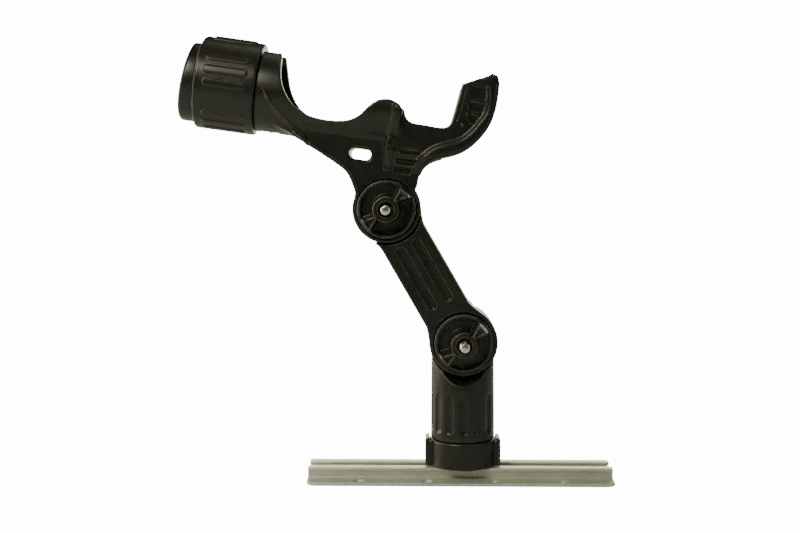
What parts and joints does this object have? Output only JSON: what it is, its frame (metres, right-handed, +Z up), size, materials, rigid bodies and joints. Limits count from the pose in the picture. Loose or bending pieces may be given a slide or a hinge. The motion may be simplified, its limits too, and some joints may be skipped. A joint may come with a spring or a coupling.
{
  "type": "fishing rod holder",
  "caption": "Adjustable fishing rod holder on a short slotted mounting rail, with a folding arm, tilting cradle and locking collar.",
  "frame": {"origin": "centre of the rail's flat underside", "axes": "+X along the rail towards the fork's end, -Y towards the control knobs, +Z up from the rail's underside"},
  "size_m": [0.289, 0.0736, 0.2962],
  "materials": {
    "black_plastic": "warm black moulded nylon, satin, fine grain",
    "aluminium": "satin mill-finish extrusion, fine lines along its length",
    "steel": "plain stainless steel",
    "brass": "machined brass"
  },
  "bodies": {
    "rail": {"rail": "aluminium"},
    "carriage": {"base_shoe": "black_plastic", "rail_bolt": "steel", "clamp_washer": "steel"},
    "post": {"post_body": "black_plastic", "clamp_nut": "brass", "nut_retainer": "steel", "lower_bolt": "steel", "lower_back_washer": "steel", "lower_knob_washer": "steel"},
    "arm": {"arm_body": "black_plastic", "upper_bolt": "steel", "upper_back_washer": "steel", "upper_knob_washer": "steel"},
    "cradle": {"cradle_body": "black_plastic"},
    "collar": {"collar": "black_plastic"},
    "lower_knob": {"lower_knob": "black_plastic", "lower_knob_nut": "steel"},
    "upper_knob": {"upper_knob": "black_plastic", "upper_knob_nut": "steel"}
  },
  "joints": [
    {"name": "rail_slide", "type": "slide", "parent": "rail", "child": "carriage", "axis": [1, 0, 0], "range_m": [-0.078, 0.074]},
    {"name": "post_swivel", "type": "hinge", "parent": "carriage", "child": "post", "pos_m": [0.002, 0, 0.03], "axis": [0, 0, 1], "range_deg": [-180, 180]},
    {"name": "arm_tilt", "type": "hinge", "parent": "post", "child": "arm", "pos_m": [0.002, 0, 0.093], "axis": [0, 1, 0], "range_deg": [-30, 90]},
    {"name": "cradle_tilt", "type": "hinge", "parent": "arm", "child": "cradle", "pos_m": [-0.0488, 0, 0.18099], "axis": [0, 1, 0], "range_deg": [-55, 30]},
    {"name": "collar_turn", "type": "hinge", "parent": "cradle", "child": "collar", "pos_m": [-0.15319, 0, 0.26311], "axis": [0.9903, 0, -0.1392], "range_deg": [0, 139.5]},
    {"name": "lower_knob_turn", "type": "hinge", "parent": "post", "child": "lower_knob", "pos_m": [0.002, 0, 0.093], "axis": [0, -1, 0], "range_deg": [0, 360]},
    {"name": "upper_knob_turn", "type": "hinge", "parent": "arm", "child": "upper_knob", "pos_m": [-0.0488, 0, 0.18099], "axis": [0, -1, 0], "range_deg": [0, 360]}
  ]
}
